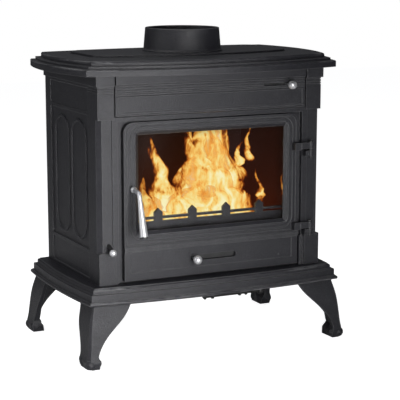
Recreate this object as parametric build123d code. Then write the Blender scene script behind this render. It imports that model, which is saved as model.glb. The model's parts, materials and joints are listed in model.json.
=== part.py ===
from build123d import *
import os
from math import cos, pi, sin

# Cast iron wood stove on four cabriole legs, with a glazed door, flue collar,
# air controls and a riddling grate. Millimetres, +Z up, front towards -Y.
# Every height is above the floor and every depth is from the middle of the body;
# the last step moves the whole stove so that the origin is the middle of its footprint.

# Body
body_half_width = 270.0
body_half_depth = 157.0
deck_top = 171.0
body_top = 620.0
wall = 8.0
cornice_height = 20.0
cornice_proud = 4.0
side_cornice_height = 23.0

# Clearances
running_gap = 0.3
pin_clearance = 0.06
screw_clearance = 0.1
slide_gap = 0.4

# Base plate: four bowed edges meeting at sharp corners
base_half_width = 304.5
base_half_depth = 188.0
base_side_bow = 11.0
base_front_bow = 19.0
base_bottom = 135.0
base_lip_height = 8.0
base_lip_round = 3.4
base_neck_height = 1.0
base_neck_inset = 3.0
base_band_height = 14.5
base_band_inset = 6.0
base_groove_height = 1.5
base_groove_inset = 11.0
base_torus_height = 9.5
base_torus_inset = 13.0
base_torus_round = 4.2
base_deck_inset = 17.0
base_skirt = 22.0
base_deck_thickness = 8.0
corner_pad_width = 42.0
corner_pad_depth = 41.0
air_hole_radius = 32.0
air_hole_x = 40.0
air_hole_y = -95.0

# Bottom cover, its bosses and screws
cover_thickness = 2.0
cover_bottom = 137.0
cover_edge_gap = 2.0
cover_boss_radius = 8.0
cover_boss_x = 180.0
cover_boss_y = 95.0
cover_inlet = (12.0, 68.0, -128.0, -83.0)
small_screw_radius = 2.0
small_head_radius = 4.0
small_head_height = 2.5

# Ash pan and its runners
runner_half_gauge = 116.0
runner_width = 12.0
runner_height = 20.0
pan_half_width = 180.0
pan_front = -128.0
pan_back = 116.0
pan_height = 45.0
pan_wall = 2.0
pan_pull_half_width = 34.0

# Legs: ridge offsets from the base corner and wing ends at each height
leg_sections = (
    # height, ridge offset, front wing end, side wing end, wing thickness, ridge chamfer
    (base_bottom, -10.5, 205.0, 100.0, 9.0, 3.0),
    (121.0, -6.5, 214.0, 112.0, 9.0, 3.5),
    (105.0, -2.2, 227.0, 116.5, 9.0, 4.0),
    (90.0, 0.8, 243.0, 121.0, 9.5, 4.5),
    (68.0, 3.8, 266.0, 132.0, 11.0, 5.0),
    (46.0, 6.2, 282.0, 142.0, 13.0, 5.5),
    (27.0, 9.0, 290.0, 148.0, 14.0, 6.0),
)
foot_sections = (
    (27.0, 9.0, 290.0, 148.0, 14.0, 6.0),
    (15.0, 12.0, 286.5, 146.0, 26.0, 9.0),
    (0.0, 9.0, 288.0, 150.0, 26.0, 9.0),
)
toes = (
    # distance in from the ridge along the front and along the side, height, radius
    (9.5, 9.5, 11.0, 11.5),
    (26.0, 12.0, 12.0, 9.5),
    (10.0, 42.0, 12.0, 12.5),
)
leg_flange_thickness = 8.0
leg_flange = (252.0, 290.0, 138.0, 173.0)
leg_bolt_x = 272.0
leg_bolt_y = 154.0
leg_bolt_radius = 4.0
leg_bolt_length = 20.0
leg_bolt_head_radius = 7.5
leg_bolt_head_height = 5.5

# Side castings
front_block_width = 38.0
front_block_depth = 12.6
front_block_side = 57.0
back_block_side = 32.0
lower_block_top = 241.0
upper_block_bottom = 526.0
shaft_recess = 4.0
shaft_chamfer = 10.0
shaft_inner_step = 5.6
field_recess = 3.0
field_top = 532.0
block_groove_heights = (582.3, 587.2, 592.9)
groove_width = 1.4
groove_depth = 1.4
bead_bottom = 252.0
bead_top = 519.0
bead_width = 90.0
bead_thickness = 7.0
bead_proud = 3.0
bead_centres = (-39.5, 60.0)
frieze_margin = 7.0
ledge_bottom = 230.0
ledge_top = 240.0
ledge_width = 30.0
ledge_half_length = 118.0
back_return = 30.0

# Tie rods
tie_x = 255.7
tie_y = 138.0
tie_radius = 4.0
tie_bottom = 151.0
tie_boss_radius = 10.0
tie_top_depth = 12.0

# Front frame
frame_back = -136.4
frame_plate = 8.0
frame_strip_front = -155.0
frame_strip_inner = 224.0
frame_top = 531.0
frame_top_strip = 521.5
fire_half_width = 203.5
fire_bottom = 262.0
fire_top = 508.0
ash_bottom = 190.0
ash_top = 250.0
frame_bead_x = (221.0, 228.5)
frame_bead_radius = 2.6
frame_bead_top = 238.0

# Lintel panel
lintel_half_width = 229.0
lintel_bottom = 532.0
lintel_grooves = (531.9, 536.0, 580.0, 583.5, 588.5, 594.4, 599.0)
lintel_step = (574.0, 577.0)
lintel_field = (540.0, 573.0)
lintel_field_half_width = 222.0
airwash_slot = (125.0, 188.0, 582.3, 587.7)

# Top plate
top_half_width = 299.5
top_half_depth = 172.0
top_side_bow = 26.0
top_front_bow = 48.0
top_back_bow = 20.0
top_slab_height = 14.5
top_neck_height = 5.5
top_neck_inset = 9.0
top_upper_height = 10.5
top_upper_inset = 19.0
top_upper_round = 5.0
top_lower_round = 3.0
top_panel_height = 4.5
top_panel_half_length = 238.0
top_panel_back = 105.0
top_panel_front = 62.0
top_panel_bow = 46.0
top_panel_back_bow = 12.0
top_panel_corner = 40.0
top_panel_groove = 2.2
top_cavity_half_width = 256.0
top_cavity_half_depth = 142.0
top_skin = 11.0

# Flue collar
flue_radius = 76.0
flue_throat = 62.0
flue_base_radius = 87.0
flue_top_radius = 83.0
flue_height = 51.5
flue_ledge = 9.0
flue_foot = 2.5
flue_foot_height = 5.0
flue_bolt_circle = 70.0
flue_bolt_count = 3
flue_bolt_radius = 3.0
flue_bolt_head_height = 4.2
flue_recess_radius = 6.6
flue_recess_depth = 4.5

# Firebox
grate_bottom = ledge_top
grate_thickness = 8.0
grate_half_width = 240.0
grate_back = 144.0
riddle_half_width = 129.5
riddle_half_travel = 15.0
riddle_half_depth = 70.0
riddle_thickness = 7.0
riddle_rail = 10.0
riddle_rail_height = 3.0
grate_slot_count = 9
grate_slot_width = 12.0
lining_thickness = 24.0
lining_inner = 214.0
lining_top = 525.0
lining_front = -130.0
back_lining_front = 120.0
baffle_thickness = 12.0
baffle_front = -40.0

# Log guard
guard_back = -135.0
guard_thickness = 6.0
guard_end_gap = 0.5
guard_lower_top = 299.0
guard_rail = (303.5, 309.0)
guard_picket_xs = (-124.0, -41.5, 41.5, 124.0)
guard_picket_width = 19.5
guard_shoulder = 318.0
guard_tip = 327.0
guard_slot_ends = 17.0

# Door
door_half_width = 212.4
door_bottom = 176.4
door_top = 519.0
door_corner = 22.0
door_front = -159.0
door_back = -147.0
door_groove_inset = 5.6
glass_half_width = 177.0
glass_bottom = 282.0
glass_top = 491.0
glass_corner = 6.0
glass_cover = 9.0
glass_thickness = 4.0
gasket_thickness = 2.0
bevel_width = 8.4
surround_inner_groove = (185.4, 188.5)
surround_outer_groove = (195.5, 198.5)
surround_groove_depth = 1.6
ledge_moulding = (239.0, 251.0)
ledge_proud = 2.5
ledge_reeds = (241.4, 244.9, 247.7)
lower_panel = (198.0, 193.0, 238.0)
lower_panel_recess = 2.0
rope_outer = 211.5
rope_width = 7.5
rope_back = -144.7
rope_groove = 3.0
air_slot = (-54.0, 57.0, 206.0, 219.0)
sight_screw = (165.0, 201.0)

# Glass clips
clip_width = 18.0
clip_height = 13.0
clip_thickness = 1.8
clip_screw_radius = 1.5
clip_screw_head = 3.0
clip_screw_head_height = 1.8
clip_screw_depth = 6.0

# Hinges
hinge_x = 238.0
hinge_y = -171.0
hinge_radius = 7.0
hinge_pin_radius = 3.5
hinge_lugs = ((258.5, 272.5), (439.5, 453.5))
hinge_barrels = ((242.0, 255.0), (422.0, 434.5))
hinge_lug_left = 197.0
hinge_web = (225.0, 235.0)
hinge_pin_head = 4.6
hinge_pin_head_height = 4.3
hinge_pin_tail = 3.0
hinge_washer_radius = 5.6

# Door handle and latch
latch_x = -193.5
latch_z = 376.5
spindle_radius = 5.0
hub_radius = 7.0
hub_y = -167.2
handle_points = ((0.0, 0.0), (-27.8, -3.5), (-32.0, -17.0))
handle_bend = 9.0
handle_top_radius = 5.0
handle_end_radius = 9.0
handle_end_y = -218.951
handle_end_z = 283.0
handle_cap_length = 3.0
cam_front = -132.6
cam_thickness = 5.0
cam_hub = 7.0
cam_reach = 24.0
cam_width = 6.0
cam_lean = 10.0
keeper_thickness = 3.4
keeper = (-213.0, -203.5, 384.0, 405.0)
keeper_screw_z = (388.5, 400.5)

# Sliding air controls
knob_radius = 10.0
knob_y = -180.0
knob_neck_radius = 2.3
knob_flare_y = -166.0
air_knob_x = -48.7
air_travel = 98.0
shutter_thickness = 2.5
shutter_overlap = 10.0
shutter_half_height = 13.0
guide_thickness = 2.0
guide_lip = 4.0
guide_rail = 4.5
airwash_knob_x = 183.5
airwash_travel = 55.0
airwash_overlap = 5.0
airwash_half_height = 9.0

# Riddling control
riddle_rod_x = -247.0
riddle_rod_z = 256.5
riddle_rod_radius = 4.0
riddle_rod_back = 5.0
riddle_bend_y = -158.0
riddle_knob_y = -177.5
riddle_knob_z = 246.0
riddle_knob_radius = 7.8
riddle_arm_width = 10.0
riddle_arm_thickness = 5.0
riddle_arm_end = -105.0

# Under-base air flap
flap_y = -143.0
flap_z = 117.0
flap_spindle_radius = 3.0
flap_span = (4.0, 76.0)
flap_back = -73.0
flap_front = -136.0
flap_thickness = 2.5
flap_arm = 4.0
flap_arm_radius = 6.0
flap_ear_xs = (-13.0, 90.0)
flap_ear_thickness = 3.0
flap_ear_radius = 6.0
flap_ear_back = -117.0
flap_knob_x = 126.5
flap_knob_radius = 7.6

# Back shield
shield_half_width = 205.0
shield_bottom = 200.0
shield_top = 590.0
shield_gap = 18.0
shield_thickness = 1.5
shield_spacer_radius = 6.0
shield_screw_x = 185.0
shield_screw_z = (225.0, 565.0)
shield_slot_count = 7
back_rib_count = 5


def box(x0, x1, y0, y1, z0, z1):
    """A block between two corners."""
    return Pos((x0 + x1) / 2, (y0 + y1) / 2, (z0 + z1) / 2) * Box(x1 - x0, y1 - y0, z1 - z0)


def cylinder_x(y, z, radius, x0, x1):
    """A round bar along X."""
    return Pos((x0 + x1) / 2, y, z) * Rot(0, 90, 0) * Cylinder(radius, x1 - x0)


def cylinder_y(x, z, radius, y0, y1):
    """A round bar along Y."""
    return Pos(x, (y0 + y1) / 2, z) * Rot(90, 0, 0) * Cylinder(radius, y1 - y0)


def cylinder_z(x, y, radius, z0, z1):
    """A round bar along Z."""
    return Pos(x, y, (z0 + z1) / 2) * Cylinder(radius, z1 - z0)


def hexagon_z(x, y, radius, z0, z1):
    """A hexagonal bolt head along Z; the radius is across its corners."""
    return Pos(x, y, z0) * extrude(RegularPolygon(radius, 6), z1 - z0)


def ball(x, y, z, radius):
    """A sphere."""
    return Pos(x, y, z) * Sphere(radius)


def rounded_plate(x0, x1, z0, z1, y0, y1, radius):
    """An upright plate facing the front, with all four corners rounded."""
    plate = box(x0, x1, y0, y1, z0, z1)
    return fillet(plate.edges().filter_by(Axis.Y), radius)


def cushion(half_width, half_depth, side_bow, front_bow, back_bow, inset):
    """A plan with four bowed edges that meet at sharp corners, moved in by an inset."""
    w = half_width - inset
    d = half_depth - inset
    front = ThreePointArc((-w, -d), (0, -d - front_bow), (w, -d))
    right = ThreePointArc((w, -d), (w + side_bow, 0), (w, d))
    back = ThreePointArc((w, d), (0, d + back_bow), (-w, d))
    left = ThreePointArc((-w, d), (-w - side_bow, 0), (-w, -d))
    return make_face([front, right, back, left])


def base_layer(inset, z0, z1):
    """A slab of the base plate's plan."""
    plan = cushion(base_half_width, base_half_depth, base_side_bow, base_front_bow, base_front_bow, inset)
    return Pos(0, 0, z0) * extrude(plan, z1 - z0)


def top_layer(inset, z0, z1):
    """A slab of the top plate's plan."""
    plan = cushion(top_half_width, top_half_depth, top_side_bow, top_front_bow, top_back_bow, inset)
    return Pos(0, 0, z0) * extrude(plan, z1 - z0)


def round_rim(slab, radius, top=True, bottom=False):
    """Round a slab's upper rim, its lower rim or both."""
    rims = slab.edges().group_by(Axis.Z)
    chosen = (rims[-1] if top else ShapeList()) + (rims[0] if bottom else ShapeList())
    return fillet(chosen, radius)


def corners():
    """The four signs of the corners."""
    return [(sx, sy) for sx in (-1, 1) for sy in (-1, 1)]


def group(solids):
    """Several separate solids held as one node."""
    return Compound(children=list(solids))


def mirrored(shape):
    """The same piece on the other side of the stove."""
    return mirror(shape, about=Plane.YZ)


# Base plate
def make_base_plate():
    lip_top = base_bottom + base_lip_height
    neck_top = lip_top + base_neck_height
    band_top = neck_top + base_band_height
    groove_top = band_top + base_groove_height
    torus_top = groove_top + base_torus_height
    plate = round_rim(base_layer(0, base_bottom, lip_top), base_lip_round, bottom=True)
    plate += base_layer(base_neck_inset, lip_top, neck_top)
    plate += base_layer(base_band_inset, neck_top, band_top)
    plate += base_layer(base_groove_inset, band_top, groove_top)
    plate += round_rim(base_layer(base_torus_inset, groove_top, torus_top), base_torus_round)
    plate += base_layer(base_deck_inset, torus_top, deck_top)
    deck_bottom = deck_top - base_deck_thickness
    hollow = base_layer(base_skirt, base_bottom, deck_bottom)
    pad_x = base_half_width - base_skirt - corner_pad_width
    pad_y = base_half_depth - base_skirt - corner_pad_depth
    for sx, sy in corners():
        xs = sorted((sx * pad_x, sx * base_half_width))
        ys = sorted((sy * pad_y, sy * (base_half_depth + base_front_bow)))
        hollow -= box(*xs, *ys, base_bottom, deck_bottom)
    plate -= hollow
    for sx, sy in corners():
        plate += cylinder_z(sx * cover_boss_x, sy * cover_boss_y, cover_boss_radius,
                            cover_bottom + cover_thickness, deck_bottom)
    for side in (-1, 1):
        centre = side * runner_half_gauge
        plate += box(centre - runner_width / 2, centre + runner_width / 2, pan_front, pan_back,
                     deck_top, deck_top + runner_height)
    plate -= cylinder_z(air_hole_x, air_hole_y, air_hole_radius, deck_bottom, deck_top)
    for sx, sy in corners():
        plate -= cylinder_z(sx * leg_bolt_x, sy * leg_bolt_y, leg_bolt_radius + screw_clearance,
                            base_bottom, base_bottom + leg_bolt_length + 1)
        plate -= cylinder_z(sx * tie_x, sy * tie_y, tie_radius + screw_clearance, tie_bottom, deck_top)
        plate -= cylinder_z(sx * cover_boss_x, sy * cover_boss_y, small_screw_radius + screw_clearance,
                            cover_bottom, deck_bottom - 2)
    return plate


def make_bottom_cover():
    cover = base_layer(base_skirt + cover_edge_gap, cover_bottom, cover_bottom + cover_thickness)
    cut_x = base_half_width - base_skirt - corner_pad_width - cover_edge_gap
    cut_y = base_half_depth - base_skirt - corner_pad_depth - cover_edge_gap
    reach_y = base_half_depth + base_front_bow
    for sx, sy in corners():
        xs = sorted((sx * cut_x, sx * base_half_width))
        ys = sorted((sy * cut_y, sy * reach_y))
        cover -= box(*xs, *ys, cover_bottom, cover_bottom + cover_thickness)
        cover -= cylinder_z(sx * cover_boss_x, sy * cover_boss_y, small_screw_radius + screw_clearance,
                            cover_bottom, cover_bottom + cover_thickness)
    cover -= box(*cover_inlet, cover_bottom, cover_bottom + cover_thickness)
    return cover


def make_cover_screws():
    screws = []
    for sx, sy in corners():
        x = sx * cover_boss_x
        y = sy * cover_boss_y
        head = cylinder_z(x, y, small_head_radius, cover_bottom - small_head_height, cover_bottom)
        shank = cylinder_z(x, y, small_screw_radius, cover_bottom - 1, cover_bottom + 16)
        screws.append(head + shank)
    return group(screws)


# Legs
def leg_outline(height, offset, front_end, side_end, thickness, chamfer):
    """The angle-shaped section of a leg at one height, in the right back quarter."""
    x = base_half_width + offset
    y = base_half_depth + offset
    points = [
        (front_end, y), (x - chamfer, y), (x, y - chamfer), (x, side_end),
        (x - thickness, side_end), (x - thickness, y - thickness), (front_end, y - thickness),
    ]
    return Face(Wire.make_polygon([(px, py, height) for px, py in points], close=True))


def make_leg():
    leg = loft([leg_outline(*section) for section in leg_sections])
    foot = loft([leg_outline(*section) for section in foot_sections], ruled=True)
    foot_offset = foot_sections[1][1]
    for along_front, along_side, height, radius in toes:
        x = base_half_width + foot_offset - along_front
        y = base_half_depth + foot_offset - along_side
        foot += ball(x, y, height, radius)
    foot -= box(0, 2 * base_half_width, 0, 2 * base_half_depth, -50, 0)
    x0, x1, y0, y1 = leg_flange
    flange = box(x0, x1, y0, y1, base_bottom - leg_flange_thickness, base_bottom)
    hole = cylinder_z(leg_bolt_x, leg_bolt_y, leg_bolt_radius + screw_clearance,
                      base_bottom - leg_flange_thickness, base_bottom)
    return leg + foot + flange - hole


def make_leg_bolts():
    bolts = []
    for sx, sy in corners():
        x = sx * leg_bolt_x
        y = sy * leg_bolt_y
        seat = base_bottom - leg_flange_thickness
        head = hexagon_z(x, y, leg_bolt_head_radius, seat - leg_bolt_head_height, seat)
        bolts.append(head + cylinder_z(x, y, leg_bolt_radius, seat - 1, base_bottom + leg_bolt_length))
    return group(bolts)


# Side castings
def side_bead(centre):
    """A tall bead with round ends on the side's outer field."""
    face = body_half_width - field_recess
    middle = (bead_bottom + bead_top) / 2
    height = bead_top - bead_bottom
    outer = SlotOverall(height, bead_width)
    inner = SlotOverall(height - 2 * bead_thickness, bead_width - 2 * bead_thickness)
    ring = extrude(outer - inner, bead_proud)
    ring = fillet(ring.edges().group_by(Axis.Z)[-1], bead_proud * 0.6)
    return Pos(face, centre, middle) * Rot(0, 90, 0) * ring


def make_right_side():
    w = body_half_width
    d = body_half_depth
    inner = w - wall
    block_inner = w - front_block_width
    block_back = -d + front_block_depth
    side = box(inner, w, -d, d, deck_top, body_top)
    side += box(block_inner, w, -d, block_back, deck_top, body_top)
    side += box(w - back_return, w, d - front_block_depth, d, deck_top, body_top)
    # Shaft of the front pilaster, set back between its two blocks
    side -= box(block_inner, w, -d, -d + shaft_recess, lower_block_top, upper_block_bottom)
    side -= box(block_inner, block_inner + shaft_inner_step, -d, block_back, lower_block_top, upper_block_bottom)
    shaft_edge = Polyline((w - shaft_chamfer, -d + shaft_recess), (w, -d + shaft_recess),
                          (w, -d + shaft_recess + shaft_chamfer), close=True)
    side -= Pos(0, 0, lower_block_top) * extrude(make_face(shaft_edge), upper_block_bottom - lower_block_top)
    # Recessed field between plinth and frieze, and a sunk panel in the frieze
    field_front = -d + front_block_side
    field_back = d - back_block_side
    side -= box(w - field_recess, w, field_front, field_back, lower_block_top, field_top)
    side -= box(w - field_recess / 2, w, field_front, field_back, field_top + frieze_margin,
                body_top - side_cornice_height - frieze_margin)
    side -= box(w - field_recess / 2, w, field_front, field_back, deck_top + frieze_margin,
                lower_block_top - frieze_margin)
    for centre in bead_centres:
        side += side_bead(centre)
    # Fine grooves across the upper block
    for height in block_groove_heights:
        side -= box(block_inner, w, -d, -d + groove_depth, height - groove_width / 2, height + groove_width / 2)
        side -= box(w - groove_depth, w, -d, field_front, height - groove_width / 2, height + groove_width / 2)
    # Cornice
    side += box(w, w + cornice_proud, -d - cornice_proud, d, body_top - side_cornice_height, body_top)
    side += box(block_inner, w, -d - cornice_proud, -d, body_top - side_cornice_height, body_top)
    # Ledge that carries the grate frame
    side += box(inner - ledge_width, inner, -ledge_half_length, ledge_half_length, ledge_bottom, ledge_top)
    return side


def make_left_side():
    side = mirrored(make_right_side())
    return side - cylinder_y(riddle_rod_x, riddle_rod_z, riddle_rod_radius + pin_clearance,
                             -body_half_depth - 1, -body_half_depth + front_block_depth + 1)


def make_tie_rods():
    rods = []
    for sx, sy in corners():
        rods.append(cylinder_z(sx * tie_x, sy * tie_y, tie_radius, tie_bottom, body_top + tie_top_depth))
    return group(rods)


# Back
def make_back_panel():
    half = body_half_width - back_return
    front = body_half_depth - front_block_depth
    back = front + wall
    panel = box(-half, half, front, back, deck_top, body_top)
    pitch = 2 * half / (back_rib_count + 1)
    for index in range(back_rib_count):
        x = -half + pitch * (index + 1)
        panel += box(x - 4, x + 4, back, back + 3, shield_bottom, shield_top)
    for side in (-1, 1):
        for z in shield_screw_z:
            panel -= cylinder_y(side * shield_screw_x, z, small_screw_radius + screw_clearance, front + 2, back)
    return panel


def make_back_shield():
    front = body_half_depth - front_block_depth + wall + shield_gap
    back = front + shield_thickness
    shield = rounded_plate(-shield_half_width, shield_half_width, shield_bottom, shield_top, front, back, 12)
    pitch = 2 * shield_half_width / (shield_slot_count + 1)
    for index in range(shield_slot_count):
        x = -shield_half_width + pitch * (index + 1)
        for z in (shield_bottom + 60, shield_top - 60):
            shield -= rounded_plate(x - 4, x + 4, z - 25, z + 25, front, back, 3.9)
    for side in (-1, 1):
        for z in shield_screw_z:
            shield -= cylinder_y(side * shield_screw_x, z, small_screw_radius + screw_clearance, front, back)
    return shield


def make_shield_spacers():
    front = body_half_depth - front_block_depth + wall
    spacers = []
    for side in (-1, 1):
        for z in shield_screw_z:
            x = side * shield_screw_x
            tube = cylinder_y(x, z, shield_spacer_radius, front, front + shield_gap)
            spacers.append(tube - cylinder_y(x, z, small_screw_radius + screw_clearance, front, front + shield_gap))
    return group(spacers)


def make_shield_screws():
    wall_front = body_half_depth - front_block_depth
    seat = wall_front + wall + shield_gap + shield_thickness
    screws = []
    for side in (-1, 1):
        for z in shield_screw_z:
            x = side * shield_screw_x
            head = cylinder_y(x, z, small_head_radius, seat, seat + small_head_height)
            screws.append(head + cylinder_y(x, z, small_screw_radius, wall_front + 3, seat + 1))
    return group(screws)


# Front frame
def make_front_frame():
    front = frame_back - frame_plate
    block_half = body_half_width - front_block_width - running_gap
    shaft_half = block_half + shaft_inner_step
    frame = box(-block_half, block_half, front, frame_back, deck_top, frame_top)
    frame += box(-shaft_half, shaft_half, front, frame_back, lower_block_top, upper_block_bottom)
    for side in (-1, 1):
        xs = sorted((side * frame_strip_inner, side * block_half))
        frame += box(*xs, frame_strip_front, front, deck_top, frame_top)
        xs = sorted((side * frame_strip_inner, side * shaft_half))
        frame += box(*xs, frame_strip_front, front, lower_block_top + running_gap,
                     upper_block_bottom - running_gap)
    frame += box(-block_half, block_half, frame_strip_front, front, frame_top_strip, frame_top)
    for x in frame_bead_x:
        frame += cylinder_z(x, frame_strip_front, frame_bead_radius, deck_top, frame_bead_top)
        frame += ball(x, frame_strip_front, frame_bead_top, frame_bead_radius)
        frame += box(x - frame_bead_radius, x + frame_bead_radius, frame_strip_front, front,
                     deck_top, frame_bead_top)
    frame -= box(-fire_half_width, fire_half_width, front, frame_back, fire_bottom, fire_top)
    frame -= box(-fire_half_width, fire_half_width, front, frame_back, ash_bottom, ash_top)
    for z in keeper_screw_z:
        frame -= cylinder_y((keeper[0] + keeper[1]) / 2, z, clip_screw_radius + screw_clearance,
                            frame_back - 5, frame_back)
    return frame


def make_latch_keeper():
    x0, x1, z0, z1 = keeper
    plate = rounded_plate(x0, x1, z0, z1, frame_back, frame_back + keeper_thickness, 2)
    for z in keeper_screw_z:
        plate -= cylinder_y((x0 + x1) / 2, z, clip_screw_radius + screw_clearance,
                            frame_back, frame_back + keeper_thickness)
    return plate


def make_keeper_screws():
    x = (keeper[0] + keeper[1]) / 2
    screws = [cylinder_y(x, z, clip_screw_radius, frame_back - 4, frame_back + keeper_thickness)
              for z in keeper_screw_z]
    return group(screws)


def make_hinge_brackets():
    brackets = []
    for z0, z1 in hinge_barrels:
        barrel = cylinder_z(hinge_x, hinge_y, hinge_radius, z0, z1)
        web = box(*hinge_web, hinge_y, frame_strip_front, z0, z1)
        foot = box(hinge_web[0], hinge_x, hinge_y - 2, hinge_y + 2, z0, z1)
        bracket = barrel + web + foot
        brackets.append(bracket - cylinder_z(hinge_x, hinge_y, hinge_pin_radius, z0, z1))
    return group(brackets)


def make_hinge_pins():
    pins = []
    for (lug_bottom, lug_top), (barrel_bottom, barrel_top) in zip(hinge_lugs, hinge_barrels):
        seat = lug_top + running_gap
        pin = cylinder_z(hinge_x, hinge_y, hinge_pin_radius, barrel_bottom - hinge_pin_tail, seat + 1)
        pin += cylinder_z(hinge_x, hinge_y, hinge_pin_head, seat, seat + hinge_pin_head_height)
        pins.append(round_rim(pin, 1.2))
    return group(pins)


def make_hinge_washers():
    washers = []
    for (lug_bottom, lug_top), (barrel_bottom, barrel_top) in zip(hinge_lugs, hinge_barrels):
        ring = cylinder_z(hinge_x, hinge_y, hinge_washer_radius, barrel_top, lug_bottom - running_gap)
        bore = cylinder_z(hinge_x, hinge_y, hinge_pin_radius + screw_clearance, barrel_top, lug_bottom)
        washers.append(ring - bore)
    return group(washers)


# Lintel panel
def make_lintel_panel():
    d = body_half_depth
    front = -d
    back = -d + wall
    half = lintel_half_width
    panel = box(-half, half, front, back, lintel_bottom, body_top)
    panel += box(-half, half, front - cornice_proud, front, body_top - cornice_height, body_top)
    for z in lintel_grooves:
        panel -= box(-half, half, front, front + groove_depth, z - groove_width / 2, z + groove_width / 2)
    panel -= box(-half, half, front, front + 2 * groove_depth, *lintel_step)
    field = lintel_field_half_width
    panel -= box(-field, field, front, front + groove_depth / 2, *lintel_field)
    x0, x1, z0, z1 = airwash_slot
    panel -= rounded_plate(x0, x1, z0, z1, front - cornice_proud, back, (z1 - z0) / 2 - 0.05)
    # Guides for the air-wash plate
    middle = (z0 + z1) / 2
    plate_back = back + slide_gap + shutter_thickness
    left = x0 - airwash_overlap - airwash_travel
    for side in (-1, 1):
        rail = sorted((middle + side * (airwash_half_height + slide_gap),
                       middle + side * (airwash_half_height + slide_gap + guide_rail)))
        lip = sorted((middle + side * (airwash_half_height - guide_lip),
                      middle + side * (airwash_half_height + slide_gap + guide_rail)))
        panel += box(left, x1 + airwash_overlap, back, plate_back + slide_gap + guide_thickness, *rail)
        panel += box(left, x1 + airwash_overlap, plate_back + slide_gap,
                     plate_back + slide_gap + guide_thickness, *lip)
    return panel


# Top plate and flue collar
def top_panel_outline(grow):
    """The raised panel's plan: long, with bowed edges and round corners."""
    w = top_panel_half_length + grow
    front = -top_panel_front - grow
    back = top_panel_back + grow
    front_arc = ThreePointArc((-w, front), (0, front - top_panel_bow), (w, front))
    right = Line((w, front), (w, back))
    back_arc = ThreePointArc((w, back), (0, back + top_panel_back_bow), (-w, back))
    left = Line((-w, back), (-w, front))
    plan = make_face([front_arc, right, back_arc, left])
    return fillet(plan.vertices(), top_panel_corner + grow)


def make_top_plate():
    slab_top = body_top + top_slab_height
    neck_top = slab_top + top_neck_height
    upper_top = neck_top + top_upper_height
    plate = round_rim(top_layer(0, body_top, slab_top), top_lower_round)
    plate += top_layer(top_neck_inset, slab_top, neck_top)
    plate += round_rim(top_layer(top_upper_inset, neck_top, upper_top), top_upper_round)
    ditch = extrude(top_panel_outline(top_panel_groove), top_panel_groove)
    plate -= Pos(0, 0, upper_top - top_panel_groove) * ditch
    panel = extrude(top_panel_outline(0), top_panel_height + top_panel_groove)
    panel = fillet(panel.edges().group_by(Axis.Z)[-1], top_panel_groove)
    plate += Pos(0, 0, upper_top - top_panel_groove) * panel
    cavity_top = upper_top - top_skin
    hollow = box(-top_cavity_half_width, top_cavity_half_width, -top_cavity_half_depth,
                 top_cavity_half_depth, body_top, cavity_top)
    for sx, sy in corners():
        hollow -= cylinder_z(sx * tie_x, sy * tie_y, tie_boss_radius, body_top, cavity_top)
    plate -= hollow
    for sx, sy in corners():
        plate -= cylinder_z(sx * tie_x, sy * tie_y, tie_radius + screw_clearance,
                            body_top, body_top + tie_top_depth + 1)
    plate -= cylinder_z(0, 0, flue_throat, body_top, upper_top + top_panel_height)
    for x, y in flue_bolt_places():
        plate -= cylinder_z(x, y, flue_bolt_radius + screw_clearance, cavity_top, upper_top + top_panel_height)
    return plate


def flue_seat():
    """Height of the raised panel, where the flue collar stands."""
    return body_top + top_slab_height + top_neck_height + top_upper_height + top_panel_height


def flue_bolt_places():
    """The bolt centres in the bottom of the flue collar."""
    step = 2 * pi / flue_bolt_count
    return [(flue_bolt_circle * sin(step * i), flue_bolt_circle * cos(step * i)) for i in range(flue_bolt_count)]


def make_flue_collar():
    seat = flue_seat()
    profile = Polyline(
        (flue_throat, 0), (flue_base_radius + flue_foot, 0),
        (flue_base_radius + flue_foot, flue_foot_height - flue_foot),
        (flue_base_radius, flue_foot_height), (flue_top_radius, flue_height - 1),
        (flue_top_radius - 1, flue_height), (flue_radius + 1, flue_height), (flue_radius, flue_height - 1),
        (flue_radius, flue_ledge), (flue_throat, flue_ledge), close=True)
    collar = Pos(0, 0, seat) * revolve(Plane.XZ * make_face(profile), Axis.Z)
    for x, y in flue_bolt_places():
        collar -= cylinder_z(x, y, flue_bolt_radius + screw_clearance, seat, seat + flue_ledge)
        collar -= cylinder_z(x, y, flue_recess_radius, seat + flue_ledge - flue_recess_depth, seat + flue_ledge)
    return collar


def make_flue_bolts():
    seat = flue_seat() + flue_ledge - flue_recess_depth
    bolts = []
    for x, y in flue_bolt_places():
        head = hexagon_z(x, y, 2 * flue_bolt_radius, seat, seat + flue_bolt_head_height)
        bolts.append(head + cylinder_z(x, y, flue_bolt_radius, flue_seat() - top_skin, seat + 1))
    return group(bolts)


# Firebox pieces
def make_grate_frame():
    front = frame_back + slide_gap
    frame = box(-grate_half_width, grate_half_width, -ledge_half_length, ledge_half_length,
                grate_bottom, grate_bottom + grate_thickness)
    inner = body_half_width - wall - ledge_width
    frame += box(-inner, inner, front, grate_back, grate_bottom, grate_bottom + grate_thickness)
    well_half_width = riddle_half_width + 2
    well_half_depth = riddle_half_depth + riddle_half_travel + 2
    frame -= box(-well_half_width, well_half_width, -well_half_depth, well_half_depth,
                 grate_bottom, grate_bottom + grate_thickness)
    for side in (-1, 1):
        xs = sorted((side * (well_half_width - riddle_rail), side * well_half_width))
        frame += box(*xs, -well_half_depth, well_half_depth, grate_bottom, grate_bottom + riddle_rail_height)
    return frame


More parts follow.
